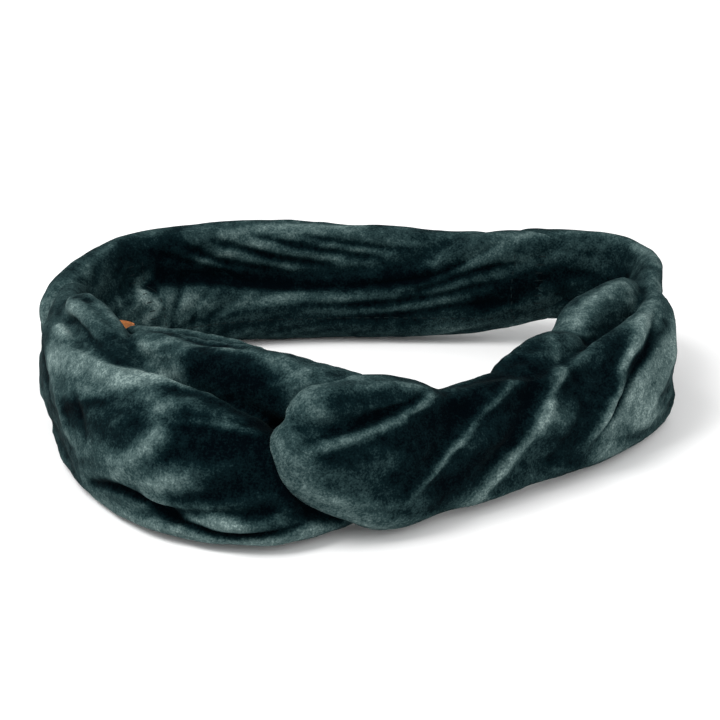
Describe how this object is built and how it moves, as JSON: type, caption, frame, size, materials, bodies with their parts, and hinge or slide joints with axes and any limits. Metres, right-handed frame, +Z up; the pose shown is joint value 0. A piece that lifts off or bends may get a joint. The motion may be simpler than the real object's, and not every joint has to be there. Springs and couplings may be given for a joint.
{
  "type": "knotted headband",
  "caption": "Soft velvet headband: two folded strands hooked through each other at the front, sewn to an elastic nape casing.",
  "frame": {"origin": "under the middle of the loop, on the surface it stands on", "axes": "+X to the right along the loop's longest extent, -Y to the front where the knot is, +Z up"},
  "size_m": [0.2194, 0.1839, 0.053],
  "materials": {
    "velvet": "crushed velvet pile, deep bottle green with a pale sheen at glancing angles",
    "elastic": "woven ribbed elastic, matt black",
    "thread": "twisted polyester sewing thread, slight shine",
    "label_leather": "smooth tan leather with fine grain, matt"
  },
  "bodies": {
    "left_half": {"left_strand": "velvet", "nape_casing": "velvet", "nape_elastic": "elastic", "left_join_stitches": "thread", "left_anchor_stitches": "thread", "right_anchor_stitches": "thread", "left_long_seam": "thread", "casing_long_seam": "thread"},
    "right_half": {"right_strand": "velvet", "right_join_stitches": "thread", "right_long_seam": "thread"},
    "label_tab": {"label": "label_leather", "label_stitches": "thread"}
  },
  "joints": [
    {"name": "knot_pivot", "type": "hinge", "parent": "left_half", "child": "right_half", "pos_m": [-0.0115, -0.0755, 0.0275], "axis": [0, 0, -1], "range_deg": [0, 12], "stiffness_Nm_per_rad": 1.5},
    {"name": "label_flap", "type": "hinge", "parent": "left_half", "child": "label_tab", "pos_m": [-0.0932, 0.004, 0.0255], "axis": [0, 0, 1], "range_deg": [-40, 40]}
  ]
}
